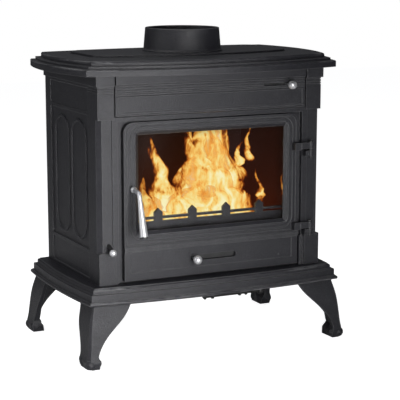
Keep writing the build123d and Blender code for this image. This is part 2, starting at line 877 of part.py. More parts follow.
def make_riddle_grate():
    bottom = grate_bottom + riddle_rail_height + running_gap
    front = -riddle_half_depth + riddle_half_travel
    back = riddle_half_depth + riddle_half_travel
    grate = box(-riddle_half_width, riddle_half_width, front, back, bottom, bottom + riddle_thickness)
    pitch = 2 * riddle_half_width / grate_slot_count
    for index in range(grate_slot_count):
        x = -riddle_half_width + pitch * (index + 0.5)
        grate -= box(x - grate_slot_width / 2, x + grate_slot_width / 2, front + 12, back - 12,
                     bottom, bottom + riddle_thickness)
    arm_y = riddle_rod_back - riddle_arm_width / 2
    grate += box(riddle_arm_end - 24, riddle_arm_end + 6, arm_y - 12, arm_y + 12,
                 bottom, bottom + riddle_thickness)
    return grate


def make_side_lining(side):
    xs = sorted((side * lining_inner, side * (lining_inner + lining_thickness)))
    top_of_frame = grate_bottom + grate_thickness
    lining = box(*xs, lining_front, back_lining_front - running_gap, top_of_frame, lining_top)
    if side < 0:
        arm_y = riddle_rod_back - riddle_arm_width / 2
        lining -= box(*xs, arm_y - 2 * riddle_half_travel - riddle_arm_width, arm_y + riddle_arm_width,
                      top_of_frame, riddle_rod_z + riddle_rod_radius + 2)
    return lining


def make_back_lining():
    half = lining_inner + lining_thickness
    return box(-half, half, back_lining_front, grate_back, grate_bottom + grate_thickness, lining_top)


def make_baffle():
    half = lining_inner + lining_thickness
    return box(-half, half, baffle_front, grate_back, lining_top, lining_top + baffle_thickness)


def make_log_guard():
    front = guard_back - guard_thickness
    half = fire_half_width - guard_end_gap
    guard = box(-half, half, front, guard_back, fire_bottom, guard_rail[1])
    slot_low = guard_lower_top
    slot_high = guard_rail[0]
    inner = half - guard_slot_ends
    guard -= rounded_plate(-inner, inner, slot_low, slot_high, front, guard_back, (slot_high - slot_low) / 2 - 0.05)
    for x in guard_picket_xs:
        half_width = guard_picket_width / 2
        outline = Polyline((x - half_width, slot_low - 1), (x + half_width, slot_low - 1),
                           (x + half_width, guard_shoulder), (x, guard_tip),
                           (x - half_width, guard_shoulder), close=True)
        picket = extrude(Plane.XZ * make_face(outline), guard_thickness)
        guard += Pos(0, guard_back, 0) * picket
    return guard


def make_ash_pan():
    bottom = deck_top + runner_height
    pan = box(-pan_half_width, pan_half_width, pan_front, pan_back, bottom, bottom + pan_height)
    pan -= box(-pan_half_width + pan_wall, pan_half_width - pan_wall, pan_front + pan_wall,
               pan_back - pan_wall, bottom + pan_wall, bottom + pan_height)
    middle = bottom + pan_height / 2
    grip = box(-pan_pull_half_width, pan_pull_half_width, pan_front - 6, pan_front, middle - 4, middle + 4)
    grip -= box(-pan_pull_half_width + 4, pan_pull_half_width - 4, pan_front - 3, pan_front, middle - 4, middle + 4)
    return pan + grip


# Door
def door_frame_ring(half_outer, half_inner, outer_z, inner_z, y0, y1, radius):
    """A rectangular ring on the door, with round corners."""
    outer = rounded_plate(-half_outer, half_outer, *outer_z, y0, y1, radius)
    thickness = half_outer - half_inner
    return outer - rounded_plate(-half_inner, half_inner, *inner_z, y0, y1, max(radius - thickness, 0.5))


def surround_groove(groove):
    """A groove round the window, at a distance given by its two half widths."""
    inner = groove[0] - glass_half_width
    outer = groove[1] - glass_half_width
    return door_frame_ring(groove[1], groove[0], (glass_bottom - outer, glass_top + outer),
                           (glass_bottom - inner, glass_top + inner), door_front,
                           door_front + surround_groove_depth, glass_corner + outer)


def window_bevel():
    """The sloping cut from the surround down to the glass opening."""
    depth = door_back - glass_thickness - gasket_thickness
    w0 = glass_half_width + bevel_width
    w1 = glass_half_width
    near = [(-w0, glass_bottom - bevel_width), (w0, glass_bottom - bevel_width),
            (w0, glass_top + bevel_width), (-w0, glass_top + bevel_width)]
    far = [(-w1, glass_bottom), (w1, glass_bottom), (w1, glass_top), (-w1, glass_top)]
    near_face = Face(Wire.make_polygon([(x, door_front, z) for x, z in near], close=True))
    far_face = Face(Wire.make_polygon([(x, depth, z) for x, z in far], close=True))
    return loft([near_face, far_face], ruled=True)


def make_door_casting():
    door = box(-door_half_width, door_half_width, door_front, door_back, door_bottom, door_top)
    door = fillet(door.edges().filter_by(Axis.Y).sort_by(Axis.Z)[-2:], door_corner)
    edge = box(-door_half_width + door_groove_inset, door_half_width - door_groove_inset, door_front,
               door_front + groove_depth, ledge_moulding[1] + 4, door_top - door_groove_inset)
    edge = fillet(edge.edges().filter_by(Axis.Y).sort_by(Axis.Z)[-2:], door_corner - door_groove_inset)
    inset = door_groove_inset + groove_width
    core = box(-door_half_width + inset, door_half_width - inset, door_front,
               door_front + groove_depth, ledge_moulding[1] + 4 + groove_width, door_top - inset)
    core = fillet(core.edges().filter_by(Axis.Y).sort_by(Axis.Z)[-2:], door_corner - inset)
    door -= edge - core
    door -= surround_groove(surround_inner_groove)
    door -= surround_groove(surround_outer_groove)
    door -= window_bevel()
    opening_back = door_back - glass_thickness - gasket_thickness
    door -= rounded_plate(-glass_half_width, glass_half_width, glass_bottom, glass_top, door_front,
                          opening_back, glass_corner)
    rebate = glass_half_width + glass_cover
    door -= box(-rebate - running_gap, rebate + running_gap, opening_back, door_back,
                glass_bottom - glass_cover - running_gap, glass_top + glass_cover + running_gap)
    # Ledge moulding and lower panel
    half, low, high = lower_panel
    door -= box(-half, half, door_front, door_front + lower_panel_recess, low, high)
    door += box(-door_half_width, door_half_width, door_front - ledge_proud, door_front, *ledge_moulding)
    for z in ledge_reeds:
        door -= box(-door_half_width, door_half_width, door_front - ledge_proud,
                    door_front - ledge_proud + groove_depth / 2, z - groove_width / 2, z + groove_width / 2)
    x0, x1, z0, z1 = air_slot
    door -= rounded_plate(x0, x1, z0, z1, door_front, door_back, (z1 - z0) / 2 - 0.05)
    door -= cylinder_y(*sight_screw, small_screw_radius, door_front, door_front + 4)
    # Rope groove in the back
    door -= rope_ring(running_gap, door_back - rope_groove, door_back)
    # Hinge lugs
    for z0, z1 in hinge_lugs:
        lug = box(hinge_lug_left, door_half_width, hinge_y - 4, door_front, z0 - 3, z1)
        lug += box(door_half_width, hinge_x, hinge_y - 5, hinge_y + 5, z0, z1)
        lug += cylinder_z(hinge_x, hinge_y, hinge_radius, z0, z1)
        lug -= cylinder_z(hinge_x, hinge_y, hinge_pin_radius + pin_clearance, z0, z1)
        door += lug
    door -= cylinder_y(latch_x, latch_z, spindle_radius + pin_clearance, door_front, door_back)
    for x, z, _ in clip_places():
        door -= cylinder_y(x, z, clip_screw_radius + screw_clearance, door_back - clip_screw_depth, door_back)
    return door


def rope_ring(grow, y0, y1):
    """The rope seal that runs round the door's back, or its groove."""
    outer = rope_outer + grow
    margin = door_half_width - outer
    inner = rope_outer - rope_width - grow
    inner_margin = door_half_width - inner
    ring = box(-outer, outer, y0, y1, door_bottom + margin, door_top - margin)
    ring = fillet(ring.edges().filter_by(Axis.Y).sort_by(Axis.Z)[-2:], door_corner - margin)
    hole = box(-inner, inner, y0, y1, door_bottom + inner_margin, door_top - inner_margin)
    hole = fillet(hole.edges().filter_by(Axis.Y).sort_by(Axis.Z)[-2:], door_corner - inner_margin)
    return ring - hole


def make_door_rope():
    return rope_ring(0, door_back - rope_groove, rope_back)


def make_glass():
    cover = glass_cover
    return box(-glass_half_width - cover, glass_half_width + cover, door_back - glass_thickness, door_back,
               glass_bottom - cover, glass_top + cover)


def make_glass_gasket():
    cover = glass_cover
    y0 = door_back - glass_thickness - gasket_thickness
    y1 = door_back - glass_thickness
    outer = box(-glass_half_width - cover, glass_half_width + cover, y0, y1,
                glass_bottom - cover, glass_top + cover)
    lip = 1.5
    return outer - box(-glass_half_width - lip, glass_half_width + lip, y0, y1,
                       glass_bottom - lip, glass_top + lip)


def clip_places():
    """Screw centres of the glass clips, and whether each clip lies along the top or bottom."""
    side_x = glass_half_width + glass_cover + 7
    low_z = glass_bottom - glass_cover - 5
    high_z = glass_top + glass_cover + 3.5
    places = [(side * side_x, z, False) for side in (-1, 1) for z in (310.0, 455.0)]
    places += [(side * 105.0, z, True) for side in (-1, 1) for z in (low_z, high_z)]
    return places


def make_glass_clips():
    clips = []
    middle = (glass_bottom + glass_top) / 2
    for x, z, level in clip_places():
        if level:
            inward = 1 if z < middle else -1
            zs = sorted((z - inward * 3.5, z + inward * (clip_width - 3.5)))
            clip = box(x - clip_height / 2, x + clip_height / 2, door_back, door_back + clip_thickness, *zs)
        else:
            inward = 1 if x < 0 else -1
            xs = sorted((x - inward * 4, x + inward * (clip_width - 4)))
            clip = box(*xs, door_back, door_back + clip_thickness, z - clip_height / 2, z + clip_height / 2)
        clips.append(clip - cylinder_y(x, z, clip_screw_radius + screw_clearance, door_back,
                                       door_back + clip_thickness))
    return group(clips)


def make_clip_screws():
    screws = []
    seat = door_back + clip_thickness
    for x, z, _ in clip_places():
        head = cylinder_y(x, z, clip_screw_head, seat, seat + clip_screw_head_height)
        screws.append(head + cylinder_y(x, z, clip_screw_radius, door_back - clip_screw_depth + 1, seat + 1))
    return group(screws)


# Primary air shutter in the door
def shutter_span():
    """Left and right ends of the closed shutter plate."""
    return air_slot[0] - shutter_overlap, air_slot[1] + shutter_overlap


def make_air_shutter():
    left, right = shutter_span()
    middle = (air_slot[2] + air_slot[3]) / 2
    y0 = door_back + running_gap
    return box(left, right, y0, y0 + shutter_thickness, middle - shutter_half_height, middle + shutter_half_height)


def make_shutter_guides():
    left, right = shutter_span()
    middle = (air_slot[2] + air_slot[3]) / 2
    lip_front = door_back + shutter_thickness + 2 * running_gap
    lip_back = lip_front + guide_thickness
    guides = []
    for side in (-1, 1):
        edge = middle + side * (shutter_half_height + slide_gap)
        rail = box(left, right + air_travel, door_back, lip_back, *sorted((edge, edge + side * guide_rail)))
        inner = middle + side * (shutter_half_height - guide_lip)
        lip = box(left, right + air_travel, lip_front, lip_back, *sorted((inner, edge + side * guide_rail)))
        guides.append(rail + lip)
    return group(guides)


def make_slide_knob(x, z, root_y):
    """A turned knob on a thin neck that grows from a sliding plate."""
    knob = ball(x, knob_y, z, knob_radius)
    flare_length = knob_flare_y - knob_y
    flare = Cone(knob_neck_radius, knob_radius * 0.93, flare_length)
    knob += Pos(x, (knob_y + knob_flare_y) / 2, z) * Rot(90, 0, 0) * flare
    return knob + cylinder_y(x, z, knob_neck_radius, knob_y, root_y)


def make_air_knob():
    middle = (air_slot[2] + air_slot[3]) / 2
    return make_slide_knob(air_knob_x, middle, door_back + running_gap)


# Air-wash slide behind the lintel
def make_airwash_plate():
    x0, x1, z0, z1 = airwash_slot
    middle = (z0 + z1) / 2
    y0 = -body_half_depth + wall + slide_gap
    return box(x0 - airwash_overlap, x1 + airwash_overlap, y0, y0 + shutter_thickness,
               middle - airwash_half_height, middle + airwash_half_height)


def make_airwash_knob():
    middle = (airwash_slot[2] + airwash_slot[3]) / 2
    return make_slide_knob(airwash_knob_x, middle, -body_half_depth + wall + slide_gap)


# Door handle and latch
def make_door_handle():
    points = [(latch_x, hub_y + y, latch_z + z) for y, z in handle_points]
    path = FilletPolyline(*points, radius=handle_bend)
    start = Plane(origin=path @ 0, z_dir=path % 0)
    arm = sweep(start * Circle(handle_top_radius), path=path)
    upper = points[-1]
    lower = (latch_x, handle_end_y, handle_end_z)
    direction = Vector(*lower) - Vector(*upper)
    upper_plane = Plane(origin=upper, z_dir=direction)
    lower_plane = Plane(origin=lower, z_dir=direction)
    bar = loft([upper_plane * Circle(handle_top_radius), lower_plane * Circle(handle_end_radius)])
    handle = ball(latch_x, hub_y, latch_z, hub_radius) + arm + ball(*upper, handle_top_radius) + bar
    return handle - cylinder_y(latch_x, latch_z, spindle_radius, hub_y, door_front)


def make_handle_cap():
    upper_y = hub_y + handle_points[-1][0]
    upper_z = latch_z + handle_points[-1][1]
    direction = Vector(0, handle_end_y - upper_y, handle_end_z - upper_z).normalized()
    plane = Plane(origin=(latch_x, handle_end_y, handle_end_z), z_dir=direction)
    cap = extrude(plane * Circle(handle_end_radius), handle_cap_length)
    return cap


def make_spindle():
    nut_back = cam_front + cam_thickness + 3.5
    spindle = cylinder_y(latch_x, latch_z, spindle_radius, hub_y, cam_front + cam_thickness)
    return spindle + cylinder_y(latch_x, latch_z, cam_hub - 0.5, cam_front + cam_thickness, nut_back)


def make_latch_cam():
    cam = cylinder_y(latch_x, latch_z, cam_hub, cam_front, cam_front + cam_thickness)
    nose = box(-cam_width / 2, cam_width / 2, cam_front, cam_front + cam_thickness, 0, cam_reach)
    cam += Pos(latch_x, 0, latch_z) * Rot(0, -cam_lean, 0) * nose
    return cam - cylinder_y(latch_x, latch_z, spindle_radius, cam_front, cam_front + cam_thickness)


# Riddling control
def make_riddling_rod():
    points = [(riddle_rod_x, riddle_rod_back, riddle_rod_z), (riddle_rod_x, riddle_bend_y, riddle_rod_z),
              (riddle_rod_x, riddle_knob_y, riddle_knob_z)]
    path = FilletPolyline(*points, radius=2 * riddle_rod_radius)
    start = Plane(origin=path @ 0, z_dir=path % 0)
    rod = sweep(start * Circle(riddle_rod_radius), path=path)
    arm_bottom = grate_bottom + riddle_rail_height + running_gap + riddle_thickness
    rod += box(riddle_rod_x - riddle_rod_radius, riddle_arm_end, riddle_rod_back - riddle_arm_width,
               riddle_rod_back, arm_bottom, arm_bottom + riddle_arm_thickness)
    return rod - ball(riddle_rod_x, riddle_knob_y, riddle_knob_z, riddle_knob_radius)


def make_riddling_knob():
    return ball(riddle_rod_x, riddle_knob_y, riddle_knob_z, riddle_knob_radius)


# Under-base air flap
def make_flap_ears():
    ears = []
    for x in flap_ear_xs:
        outline = Polyline((flap_y - flap_ear_radius * 0.7, cover_bottom), (flap_ear_back, cover_bottom),
                           (flap_y + flap_ear_radius * 0.8, flap_z - flap_ear_radius * 0.6),
                           (flap_y - flap_ear_radius * 0.8, flap_z - flap_ear_radius * 0.6), close=True)
        face = Plane.YZ * make_face(outline)
        ear = Pos(x - flap_ear_thickness / 2, 0, 0) * extrude(face, flap_ear_thickness)
        ear += cylinder_x(flap_y, flap_z, flap_ear_radius, x - flap_ear_thickness / 2, x + flap_ear_thickness / 2)
        ears.append(ear - cylinder_x(flap_y, flap_z, flap_spindle_radius + pin_clearance,
                                     x - flap_ear_thickness, x + flap_ear_thickness))
    return group(ears)


def make_air_flap():
    x0, x1 = flap_span
    top = cover_bottom - slide_gap
    bottom = top - flap_thickness
    flap = box(x0, x1, flap_front, flap_back, bottom, top)
    for inner, outer in ((x0, x0 + flap_arm), (x1 - flap_arm, x1)):
        arm = box(inner, outer, flap_y - flap_arm_radius, flap_front + flap_arm_radius, flap_z, bottom)
        arm += cylinder_x(flap_y, flap_z, flap_arm_radius, inner, outer)
        arm += box(inner, outer, flap_front, flap_front + flap_arm_radius, bottom - 1, bottom)
        flap += arm
    return flap - cylinder_x(flap_y, flap_z, flap_spindle_radius, x0, x1)


def make_flap_spindle():
    left = flap_ear_xs[0] - flap_ear_thickness - 2
    spindle = cylinder_x(flap_y, flap_z, flap_spindle_radius, left, flap_knob_x)
    return spindle + ball(flap_knob_x, flap_y, flap_z, flap_knob_radius)


def make_all():
    """Every piece of the stove by name."""
    leg = make_leg()
    return {
        "base_plate": make_base_plate(),
        "bottom_cover": make_bottom_cover(),
        "cover_screws": make_cover_screws(),
        "leg_back_right": leg,
        "leg_back_left": mirrored(leg),
        "leg_front_right": mirror(leg, about=Plane.XZ),
        "leg_front_left": mirrored(mirror(leg, about=Plane.XZ)),
        "leg_bolts": make_leg_bolts(),
        "right_side": make_right_side(),
        "left_side": make_left_side(),
        "tie_rods": make_tie_rods(),
        "back_panel": make_back_panel(),
        "back_shield": make_back_shield(),
        "shield_spacers": make_shield_spacers(),
        "shield_screws": make_shield_screws(),
        "front_frame": make_front_frame(),
        "latch_keeper": make_latch_keeper(),
        "keeper_screws": make_keeper_screws(),
        "hinge_brackets": make_hinge_brackets(),
        "hinge_pins": make_hinge_pins(),
        "hinge_washers": make_hinge_washers(),
        "lintel_panel": make_lintel_panel(),
        "top_plate": make_top_plate(),
        "flue_collar": make_flue_collar(),
        "flue_bolts": make_flue_bolts(),
        "grate_frame": make_grate_frame(),
        "right_lining": make_side_lining(1),
        "left_lining": make_side_lining(-1),
        "back_lining": make_back_lining(),
        "baffle_plate": make_baffle(),
        "log_guard": make_log_guard(),
        "ash_pan": make_ash_pan(),
        "flap_ears": make_flap_ears(),
        "door_casting": make_door_casting(),
        "door_rope": make_door_rope(),
        "door_glass": make_glass(),
        "glass_gasket": make_glass_gasket(),
        "glass_clips": make_glass_clips(),
        "clip_screws": make_clip_screws(),
        "shutter_guides": make_shutter_guides(),
        "air_shutter": make_air_shutter(),
        "air_knob": make_air_knob(),
        "airwash_plate": make_airwash_plate(),
        "airwash_knob": make_airwash_knob(),
        "door_handle": make_door_handle(),
        "handle_cap": make_handle_cap(),
        "handle_spindle": make_spindle(),
        "latch_cam": make_latch_cam(),
        "riddling_rod": make_riddling_rod(),
        "riddling_knob": make_riddling_knob(),
        "riddle_grate": make_riddle_grate(),
        "air_flap": make_air_flap(),
        "flap_spindle": make_flap_spindle(),
    }


pieces = make_all()
boxes = [piece.bounding_box() for piece in pieces.values()]
front_reach = min(b.min.Y for b in boxes)
back_reach = max(b.max.Y for b in boxes)
centre_y = (front_reach + back_reach) / 2
print("width", max(b.max.X for b in boxes) - min(b.min.X for b in boxes))
print("front", front_reach, "back", back_reach, "origin at body y", centre_y)
os.makedirs("parts", exist_ok=True)
for name, piece in pieces.items():
    solids = [Pos(0, -centre_y, 0) * solid for solid in piece.solids()]
    export_step(solids[0] if len(solids) == 1 else Compound(solids), f"parts/{name}.step")
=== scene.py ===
"""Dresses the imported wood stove: cast iron, chrome, glass, the fire behind the window and the studio.

Lengths are in metres in the row frame: +X to the right, +Y to the back, +Z up, origin under the stove.
"""

import json
import logging
from dataclasses import dataclass, field
from enum import Enum
from typing import Any, Optional, Sequence

import bpy
import numpy as np
from mathutils import Matrix, Vector

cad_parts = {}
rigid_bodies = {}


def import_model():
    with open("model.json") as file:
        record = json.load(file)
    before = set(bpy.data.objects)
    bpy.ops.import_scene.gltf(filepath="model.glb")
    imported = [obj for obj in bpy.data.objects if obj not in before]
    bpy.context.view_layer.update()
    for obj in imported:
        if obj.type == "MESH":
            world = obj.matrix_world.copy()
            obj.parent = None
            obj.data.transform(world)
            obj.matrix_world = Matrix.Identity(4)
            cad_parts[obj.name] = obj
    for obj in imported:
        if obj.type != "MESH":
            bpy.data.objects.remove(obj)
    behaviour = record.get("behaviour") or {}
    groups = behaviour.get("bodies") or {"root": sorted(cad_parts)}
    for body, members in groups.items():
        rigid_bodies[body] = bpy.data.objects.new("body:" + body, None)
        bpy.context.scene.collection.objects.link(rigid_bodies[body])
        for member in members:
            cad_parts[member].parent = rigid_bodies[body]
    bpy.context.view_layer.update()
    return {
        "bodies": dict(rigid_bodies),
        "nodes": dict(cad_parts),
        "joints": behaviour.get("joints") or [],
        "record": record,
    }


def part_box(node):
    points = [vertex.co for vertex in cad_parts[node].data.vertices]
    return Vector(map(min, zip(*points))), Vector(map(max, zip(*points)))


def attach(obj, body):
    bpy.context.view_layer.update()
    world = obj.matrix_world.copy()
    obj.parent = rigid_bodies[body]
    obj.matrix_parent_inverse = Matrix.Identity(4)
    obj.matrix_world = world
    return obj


LOG = logging.getLogger("stove")
PHOTO_PIXELS = 400

Colour = tuple[float, float, float, float]
Point = tuple[float, float, float]
Span = tuple[float, float]
Stops = Sequence[tuple[float, Colour]]


class Shading(Enum):
    """How a mesh's faces are shaded."""

    FLAT = False
    SMOOTH = True


@dataclass(frozen=True)
class Noise:
    """A noise pattern: features per metre, octaves, strength of the finer ones and how far it is warped."""

    scale: float
    detail: float = 2.0
    rough: float = 0.5
    distortion: float = 0.0


class Wire:
    """A shader socket that Python's operators can do maths on."""

    def __init__(self, shader: "Shader", socket: Any) -> None:
        """Hold one output socket.

        Args:
            shader: the node tree that the socket belongs to.
            socket: the output socket.
        """
        self.shader = shader
        self.socket = socket

    def _maths(self, operation: str, *values: Any, clamp: bool = False) -> "Wire":
        """Add one Math node.

        Args:
            operation: the Math node's operation.
            values: its inputs, wires or numbers.
            clamp: whether the result is kept from 0 to 1.

        Returns:
            The node's output.
        """
        settings = {"operation": operation, "use_clamp": clamp}
        return self.shader.add("ShaderNodeMath", settings, dict(enumerate(values)))

    def __add__(self, other: Any) -> "Wire":
        """Sum."""
        return self._maths("ADD", self, other)

    __radd__ = __add__

    def __sub__(self, other: Any) -> "Wire":
        """Difference."""
        return self._maths("SUBTRACT", self, other)

    def __rsub__(self, other: Any) -> "Wire":
        """Difference from a number."""
        return self._maths("SUBTRACT", other, self)

    def __mul__(self, other: Any) -> "Wire":
        """Product."""
        return self._maths("MULTIPLY", self, other)

    __rmul__ = __mul__

    def __abs__(self) -> "Wire":
        """Size without sign."""
        return self._maths("ABSOLUTE", self)

    def clamp(self) -> "Wire":
        """The value kept from 0 to 1."""
        return self._maths("ADD", self, 0.0, clamp=True)

    def step(self, span: Span) -> "Wire":
        """A smooth step from 0 at the span's low end to 1 at its high end."""
        settings = {"interpolation_type": "SMOOTHSTEP", "clamp": True}
        return self.shader.add("ShaderNodeMapRange", settings, {0: self, 1: span[0], 2: span[1]})


class Shader:
    """The node tree of a material or a world, built by small calls."""

    def __init__(self, owner: Any, output: str = "ShaderNodeOutputMaterial") -> None:
        """Clear the owner's nodes and give it an output.

        Args:
            owner: the material or the world.
            output: the type of its output node.
        """
        owner.use_nodes = True
        self.owner = owner
        self.tree = owner.node_tree
        self.tree.nodes.clear()
        self.output = self.node(output)

    @classmethod
    def for_material(cls, name: str) -> "Shader":
        """Start an empty material."""
        return cls(bpy.data.materials.new(name))

    def node(self, kind: str, settings: Optional[dict] = None, inputs: Optional[dict] = None) -> Any:
        """Add a node, set it up and feed it.

        Args:
            kind: the node's type name.
            settings: its properties; a "stops" entry fills a colour ramp.
            inputs: values or wires by input name or number.

        Returns:
            The new node.
        """
        node = self.tree.nodes.new(kind)
        for key, value in (settings or {}).items():
            if key == "stops":
                self._fill_ramp(node.color_ramp, value)
            else:
                setattr(node, key, value)
        for key, value in (inputs or {}).items():
            socket = node.inputs[key]
            if isinstance(value, Wire):
                self.tree.links.new(value.socket, socket)
            else:
                socket.default_value = value
        return node

    def add(self, kind: str, settings: Optional[dict] = None, inputs: Optional[dict] = None,
            output: Any = 0) -> Wire:
        """Add a node as node() does and return one of its outputs as a wire."""
        return Wire(self, self.node(kind, settings, inputs).outputs[output])

    @staticmethod
    def _fill_ramp(ramp: Any, stops: Stops) -> None:
        """Set a colour ramp's stops.

        A ramp sorts its elements whenever one moves, so each stop after the first is added at its place.

        Args:
            ramp: the ramp, with the two elements of a new node.
            stops: place and colour of each stop, in order.
        """
        ramp.elements.remove(ramp.elements[-1])
        (first_place, first_colour), *others = stops
        ramp.elements[0].position = first_place
        ramp.elements[0].color = first_colour
        for place, colour in others:
            ramp.elements.new(place).color = colour

    def place(self) -> Wire:
        """Object coordinates."""
        return self.add("ShaderNodeTexCoord", output="Object")

    def axes(self) -> tuple[Wire, Wire, Wire]:
        """Object coordinates as three numbers."""
        split = self.node("ShaderNodeSeparateXYZ", None, {0: self.place()})
        return tuple(Wire(self, out) for out in split.outputs)

    def noise(self, pattern: Noise, vector: Optional[Wire] = None) -> Wire:
        """Noise from 0 to 1.

        Args:
            pattern: its sizes.
            vector: where it is read, Object coordinates by default.

        Returns:
            The noise value.
        """
        inputs = {"Vector": vector or self.place(), "Scale": pattern.scale, "Detail": pattern.detail,
                  "Roughness": pattern.rough, "Distortion": pattern.distortion}
        return self.add("ShaderNodeTexNoise", None, inputs)

    def mix(self, factor: Any, first: Any, second: Any) -> Wire:
        """Blend two colours, from the first at factor 0 to the second at factor 1."""
        return self.add("ShaderNodeMix", {"data_type": "RGBA"}, {0: factor, 6: first, 7: second}, output=2)

    def ramp(self, value: Wire, stops: Stops) -> Wire:
        """A colour read from stops."""
        return self.add("ShaderNodeValToRGB", {"stops": stops}, {0: value})

    def bump(self, height: Wire, distance: float, under: Optional[Wire] = None) -> Wire:
        """A bumped normal.

        Args:
            height: the height, from 0 to 1.
            distance: metres that a height of 1 stands up.
            under: the normal that is bumped, the mesh's own by default.

        Returns:
            The normal.
        """
        inputs = {"Height": height, "Distance": distance}
        if under is not None:
            inputs["Normal"] = under
        return self.add("ShaderNodeBump", None, inputs)

    def close(self, surface: Wire) -> Any:
        """Feed the output's surface and return the finished material or world."""
        self.tree.links.new(surface.socket, self.output.inputs["Surface"])
        return self.owner

    def finish(self, inputs: dict[str, Any]) -> bpy.types.Material:
        """Close the material with a Principled shader that has these inputs."""
        return self.close(self.add("ShaderNodeBsdfPrincipled", None, inputs))


def rgb(red: float, green: float, blue: float) -> Colour:
    """A colour with full alpha."""
    return (red, green, blue, 1.0)


def grey(level: float) -> Colour:
    """A grey with full alpha."""
    return rgb(level, level, level)


@dataclass(frozen=True)
class CastIron:
    """Satin stove paint on sand-cast iron."""

    name: str = "cast_iron_black"
    paint: Colour = rgb(0.0110, 0.0108, 0.0145)
    worn: Colour = rgb(0.036, 0.0355, 0.042)
    # Edge colour: partly paint worn thin, partly a painted highlight along the mouldings.
    edge_highlight_and_wear: Colour = rgb(0.12, 0.12, 0.125)
    specular: float = 0.5
    roughness: float = 0.44
    patch_roughness: float = 0.16
    grain_roughness: float = 0.20
    grain: Noise = Noise(620.0, 3.0, 0.6)
    dimples: Noise = Noise(186.0)
    clouds: Noise = Noise(14.0, 4.0, 0.6)
    patches: Noise = Noise(70.0, 3.0, 0.55)
    relief: float = 0.0010
    grain_share: float = 0.8
    dimple_share: float = 0.3
    edge_radius: float = 0.0018
    edge_samples: int = 6
    edge_bend: Span = (0.004, 0.07)
    edge_base: float = 0.3
    cloud_share: float = 0.6
    patch_share: float = 0.4
    wear_span: Span = (0.42, 0.68)
    wear_amount: float = 0.35
    grain_wear_start: float = 0.46
    grain_wear_slope: float = 5.0

    def build(self) -> bpy.types.Material:
        """Make a fine grain, soft dimples, a broken sheen and lighter edges, partly paint wear and partly a
        painted highlight.

        The edges are where the normal of a rounded edge turns away from the face's own normal.

        Returns:
            The material.
        """
        s = Shader.for_material(self.name)
        grain = s.noise(self.grain)
        dimples = s.noise(self.dimples)
        clouds = s.noise(self.clouds)
        patches = s.noise(self.patches)
        rounded = s.add("ShaderNodeBevel", {"samples": self.edge_samples}, {"Radius": self.edge_radius})
        facing = s.add("ShaderNodeNewGeometry", output="True Normal")
        match = s.add("ShaderNodeVectorMath", {"operation": "DOT_PRODUCT"}, {0: rounded, 1: facing},
                      "Value")
        # The edge mask lightens the edges: partly paint worn thin, partly a painted highlight along the
        # mouldings.
        edge = (1.0 - match).step(self.edge_bend) * (self.edge_base + patches)
        dull = (clouds * self.cloud_share + patches * self.patch_share).step(self.wear_span)
        speckle = (grain - self.grain_wear_start) * self.grain_wear_slope
        wear = (dull * self.wear_amount + speckle).clamp()
        colour = s.mix(edge.clamp(), s.mix(wear, self.paint, self.worn), self.edge_highlight_and_wear)
        sheen = (patches - 0.5) * self.patch_roughness + (grain - 0.5) * self.grain_roughness
        height = grain * self.grain_share + dimples * self.dimple_share
        normal = s.bump(height, self.relief, rounded)
        return s.finish({"Base Color": colour, "Roughness": self.roughness + sheen,
                         "Specular IOR Level": self.specular, "Normal": normal})


@dataclass(frozen=True)
class Steel:
    """Plain or blackened steel with a drawn grain."""

    name: str
    colour: Colour
    roughness: float
    metallic: float
    scratches: Noise = Noise(1400.0, 2.0, 0.7)
    stains: Noise = Noise(45.0, 4.0, 0.6)
    stain_span: Span = (0.35, 0.75)
    stain_share: float = 0.6
    stain_roughness: float = 0.2
    scratch_roughness: float = 0.08
    relief: float = 0.00004

    def build(self) -> bpy.types.Material:
        """Make fine scratches and a little staining.

        Returns:
            The material.
        """
        s = Shader.for_material(self.name)
        scratches = s.noise(self.scratches)
        stains = s.noise(self.stains)
        stained = rgb(*(self.stain_share * level for level in self.colour[:3]))
        colour = s.mix(stains.step(self.stain_span), self.colour, stained)
        sheen = (stains - 0.5) * self.stain_roughness + (scratches - 0.5) * self.scratch_roughness
        return s.finish({"Base Color": colour, "Metallic": self.metallic,
                         "Roughness": self.roughness + sheen, "Normal": s.bump(scratches, self.relief)})


@dataclass(frozen=True)
class Chrome:
    """Bright plating with a faint haze."""

    name: str = "bright_chrome"
    colour: Colour = rgb(0.80, 0.80, 0.82)
    hazed: Colour = rgb(0.66, 0.66, 0.68)
    metallic: float = 0.7
    roughness: float = 0.28
    smear_roughness: float = 0.14
    smears: Noise = Noise(60.0, 4.0, 0.6)
    smear_span: Span = (0.4, 0.8)
    specks: Noise = Noise(300.0)
    relief: float = 0.00003

    def build(self) -> bpy.types.Material:
        """Make a polish with slight smears.

        Returns:
            The material.
        """
        s = Shader.for_material(self.name)
        smears = s.noise(self.smears)
        colour = s.mix(smears.step(self.smear_span), self.colour, self.hazed)
        return s.finish({"Base Color": colour, "Metallic": self.metallic,
                         "Roughness": self.roughness + smears * self.smear_roughness,
                         "Normal": s.bump(s.noise(self.specks), self.relief)})


@dataclass(frozen=True)
class CeramicGlass:
    """Clear stove glass that lets the fire show, with a trace of soot near its edges."""

    name: str = "ceramic_glass"
    colour: Colour = rgb(0.012, 0.009, 0.007)
    roughness: float = 0.06
    specular: float = 0.06
    middle_height: float = 0.3865
    soot_across: Span = (0.150, 0.182)
    soot_upwards: Span = (0.090, 0.108)
    smoke: Noise = Noise(30.0, 4.0, 0.6)
    clear_alpha: float = 0.03
    soot_alpha: float = 0.40

    def build(self) -> bpy.types.Material:
        """Make a thin clear gloss that soot clouds by how far a point lies from the glass's middle.

        Returns:
            The material.
        """
        s = Shader.for_material(self.name)
        x, _, z = s.axes()
        soot = abs(x).step(self.soot_across) + abs(z - self.middle_height).step(self.soot_upwards)
        alpha = (self.clear_alpha + soot * s.noise(self.smoke) * self.soot_alpha).clamp()
        return s.finish({"Base Color": self.colour, "Roughness": self.roughness, "Alpha": alpha,
                         "Specular IOR Level": self.specular})


